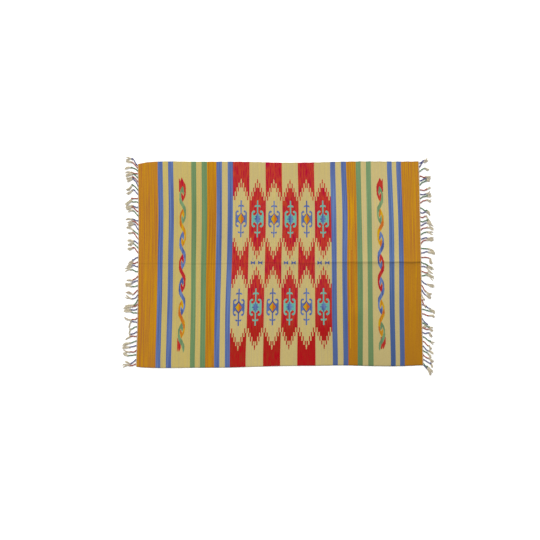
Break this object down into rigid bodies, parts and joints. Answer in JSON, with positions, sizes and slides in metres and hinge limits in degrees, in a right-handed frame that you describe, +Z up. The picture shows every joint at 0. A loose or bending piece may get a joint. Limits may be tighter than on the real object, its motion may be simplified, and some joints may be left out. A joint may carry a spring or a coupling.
{
  "type": "kitchen mat",
  "caption": "Flat-woven rectangular floor mat with colour bands, stepped lozenges and knotted, tufted cords along both short ends.",
  "frame": {"origin": "under the middle of the whole mat, fringes included, on the surface it lies on", "axes": "+X along the mat from the left fringe to the right fringe, +Y across it to the far edge, +Z up out of the patterned face"},
  "size_m": [0.9256, 0.6266, 0.0043],
  "materials": {
    "woven_cotton": "matt weft-faced flat weave",
    "fringe_cotton": "matt twisted cotton yarn"
  },
  "bodies": {
    "root": {"mat": "woven_cotton", "fringe_left": "fringe_cotton", "fringe_right": "fringe_cotton"}
  },
  "joints": []
}
